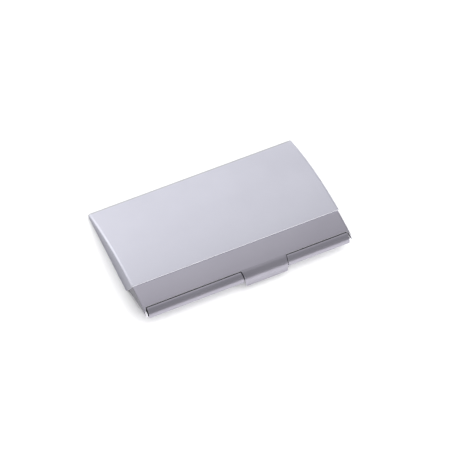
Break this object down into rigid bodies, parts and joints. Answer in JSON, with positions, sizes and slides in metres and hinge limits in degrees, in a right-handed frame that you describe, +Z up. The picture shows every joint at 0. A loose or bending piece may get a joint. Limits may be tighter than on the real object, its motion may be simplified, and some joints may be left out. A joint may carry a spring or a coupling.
{
  "type": "business card case",
  "caption": "Flat metal case for business cards: a folded tray with a rolled front rim, and an arched, hinged lid with an off-centre thumb tab and a pale outer cover.",
  "frame": {"origin": "centre of the case's bounding box at the level of its underside, which is the table it lies on", "axes": "+X along the length, to the right of a person facing the thumb tab; -Y to the front, where the tab is; +Y to the hinge; +Z up"},
  "size_m": [0.095, 0.0624, 0.0123],
  "materials": {
    "cover_aluminium": "fine matt, anodised pale silver",
    "case_aluminium": "satin, darker silver",
    "steel": "bright spring steel",
    "film": "thin adhesive film"
  },
  "bodies": {
    "tray": {"base_tray": "case_aluminium", "hinge_rod": "steel", "card_spring": "steel", "spring_rivet_left": "steel", "spring_rivet_right": "steel"},
    "lid": {"lid_shell": "case_aluminium", "main_cover": "cover_aluminium", "bonding_film_rear": "film", "bonding_film_front": "film"}
  },
  "joints": [
    {"name": "lid_hinge", "type": "hinge", "parent": "tray", "child": "lid", "pos_m": [0, 0.0302, 0.0008], "axis": [-1, 0, 0], "range_deg": [0, 110]}
  ]
}
